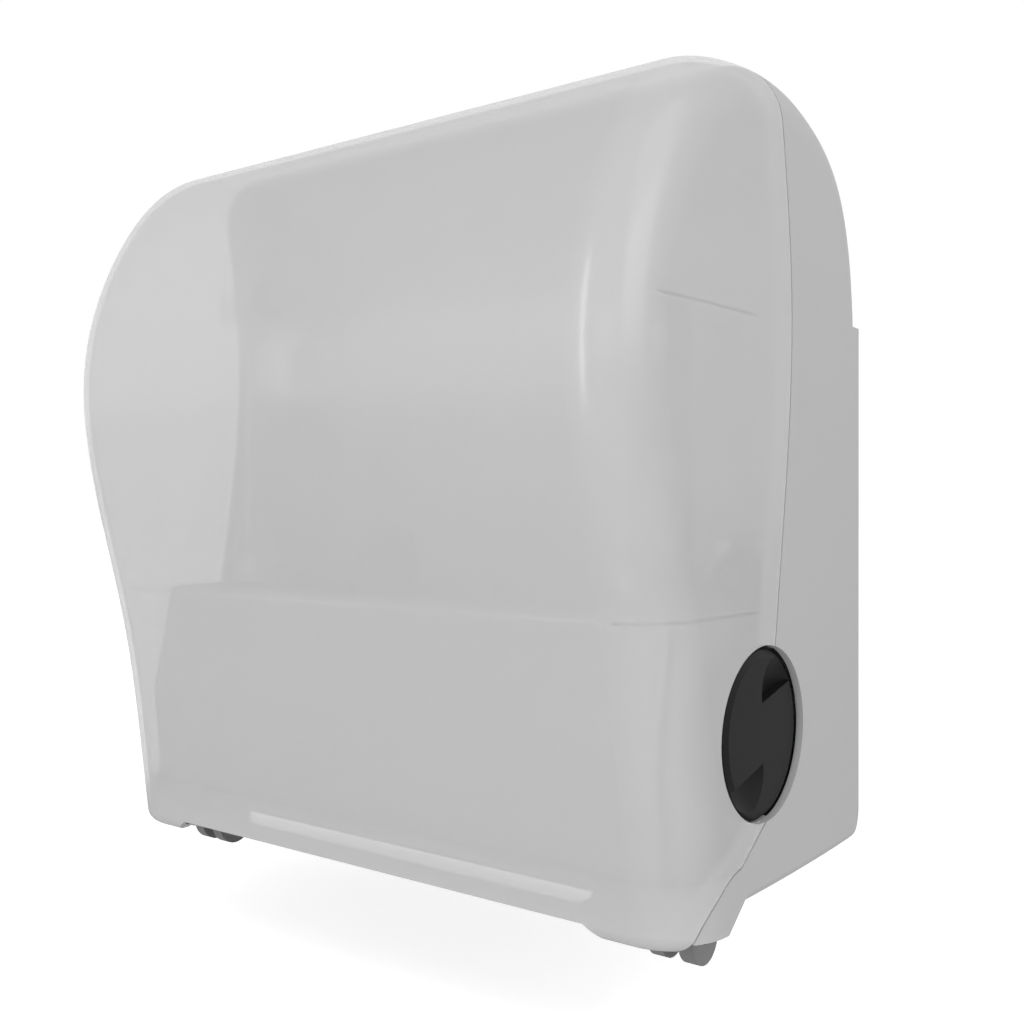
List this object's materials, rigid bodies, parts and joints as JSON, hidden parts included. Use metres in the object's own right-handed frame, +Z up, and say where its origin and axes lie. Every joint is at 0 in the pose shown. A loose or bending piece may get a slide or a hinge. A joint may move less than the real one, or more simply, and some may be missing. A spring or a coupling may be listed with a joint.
{
  "type": "roll towel dispenser",
  "caption": "Wall-mounted roll towel dispenser with hinged see-through cover, side feed knob, grooved feed drum with swing-out knife, pressure roller and sprung roll arms.",
  "frame": {"origin": "on the wall face, at the centre of the four wall screws", "axes": "+X to the right seen from the front, +Y into the wall, +Z up"},
  "size_m": [0.336, 0.1946, 0.3592],
  "materials": {
    "case_plastic": "light grey moulded",
    "cover_plastic": "frosted, light shows through",
    "dark_plastic": "black, fine grain",
    "steel": "zinc plated",
    "frame_plastic": "mid grey moulded",
    "drum_plastic": "grey moulded",
    "acetal": "natural white, smooth",
    "rubber": "dull"
  },
  "bodies": {
    "case": {"rear_case": "case_plastic", "hinge_block_left": "dark_plastic", "hinge_block_right": "dark_plastic", "hinge_pin_left": "steel", "hinge_pin_right": "steel", "mechanism_plate_left": "frame_plastic", "mechanism_plate_right": "frame_plastic", "tie_bar_high": "steel", "tie_bar_low": "steel", "mechanism_screws": "steel", "front_guide": "frame_plastic", "lower_guard": "frame_plastic", "rear_guide": "frame_plastic", "cam_sleeve": "acetal", "spring_post": "steel", "return_spring": "steel", "pawl_pin": "steel", "roller_spring_left": "steel", "roller_spring_right": "steel", "arm_base_left": "frame_plastic", "arm_base_right": "frame_plastic", "arm_pin_left": "steel", "arm_pin_right": "steel", "arm_base_screws": "steel", "lock_housing": "dark_plastic"},
    "cover": {"front_cover": "cover_plastic"},
    "drum": {"drum_shell": "drum_plastic", "grip_bands": "rubber", "drum_end_left": "drum_plastic", "drum_end_right": "drum_plastic", "drum_shaft": "steel", "feed_knob": "dark_plastic", "crank_wheel": "acetal", "ratchet_wheel": "acetal"},
    "knife": {"knife_rod": "steel", "knife_carrier": "drum_plastic", "knife_blade": "steel", "cam_lever": "acetal", "cam_follower": "steel", "knife_spring": "steel"},
    "pressure_carrier": {"bearing_block_left": "acetal", "bearing_block_right": "acetal"},
    "pressure_roller": {"roller_shaft": "steel", "roller_sleeves": "rubber"},
    "pawl": {"pawl": "acetal"},
    "cam": {"knife_cam": "acetal"},
    "arm_left": {"roll_arm_left": "frame_plastic", "arm_spring_left": "steel"},
    "arm_right": {"roll_arm_right": "frame_plastic", "arm_spring_right": "steel"},
    "hub_left": {"roll_hub_left": "acetal"},
    "hub_right": {"roll_hub_right": "acetal"},
    "lock": {"lock_plug": "steel", "lock_cam": "steel"}
  },
  "joints": [
    {"name": "cover_hinge", "type": "hinge", "parent": "case", "child": "cover", "pos_m": [0, -0.114, -0.169], "axis": [1, 0, 0], "range_deg": [0, 95]},
    {"name": "drum_spin", "type": "hinge", "parent": "case", "child": "drum", "pos_m": [0, -0.0993, -0.0897], "axis": [1, 0, 0], "continuous": true, "deforming": ["return_spring"]},
    {"name": "knife_swing", "type": "hinge", "parent": "drum", "child": "knife", "pos_m": [0, -0.0773, -0.0797], "axis": [-1, 0, 0], "range_deg": [0, 16], "stiffness_Nm_per_rad": 0.05, "springref_deg": -34.38},
    {"name": "roller_slide", "type": "slide", "parent": "case", "child": "pressure_carrier", "axis": [0, 1, 0], "range_m": [0, 0.0015], "stiffness_N_per_m": 1500, "springref_m": -0.004, "deforming": ["roller_spring_left", "roller_spring_right"]},
    {"name": "roller_spin", "type": "hinge", "parent": "pressure_carrier", "child": "pressure_roller", "pos_m": [0, -0.0499, -0.0897], "axis": [1, 0, 0], "continuous": true},
    {"name": "pawl_swing", "type": "hinge", "parent": "case", "child": "pawl", "pos_m": [0, -0.0853, -0.0577], "axis": [-1, 0, 0], "range_deg": [0, 12]},
    {"name": "cam_shift", "type": "slide", "parent": "case", "child": "cam", "axis": [1, 0, 0], "range_m": [0, 0.0075]},
    {"name": "arm_flex_left", "type": "hinge", "parent": "case", "child": "arm_left", "pos_m": [-0.114, -0.09, -0.032], "axis": [0, -1, 0], "range_deg": [0, 10], "stiffness_Nm_per_rad": 0.8, "springref_deg": -8.59},
    {"name": "hub_spin_left", "type": "hinge", "parent": "arm_left", "child": "hub_left", "pos_m": [-0.1, -0.092, 0.07], "axis": [1, 0, 0], "continuous": true},
    {"name": "arm_flex_right", "type": "hinge", "parent": "case", "child": "arm_right", "pos_m": [0.114, -0.09, -0.032], "axis": [0, 1, 0], "range_deg": [0, 10], "stiffness_Nm_per_rad": 0.8, "springref_deg": -8.59},
    {"name": "hub_spin_right", "type": "hinge", "parent": "arm_right", "child": "hub_right", "pos_m": [0.1, -0.092, 0.07], "axis": [1, 0, 0], "continuous": true},
    {"name": "lock_turn", "type": "hinge", "parent": "case", "child": "lock", "pos_m": [-0.16, -0.06, 0.12], "axis": [1, 0, 0], "range_deg": [0, 90]}
  ],
  "couplings": [
    {"joint": "roller_spin", "follows": "drum_spin", "ratio": -3.4545}
  ]
}
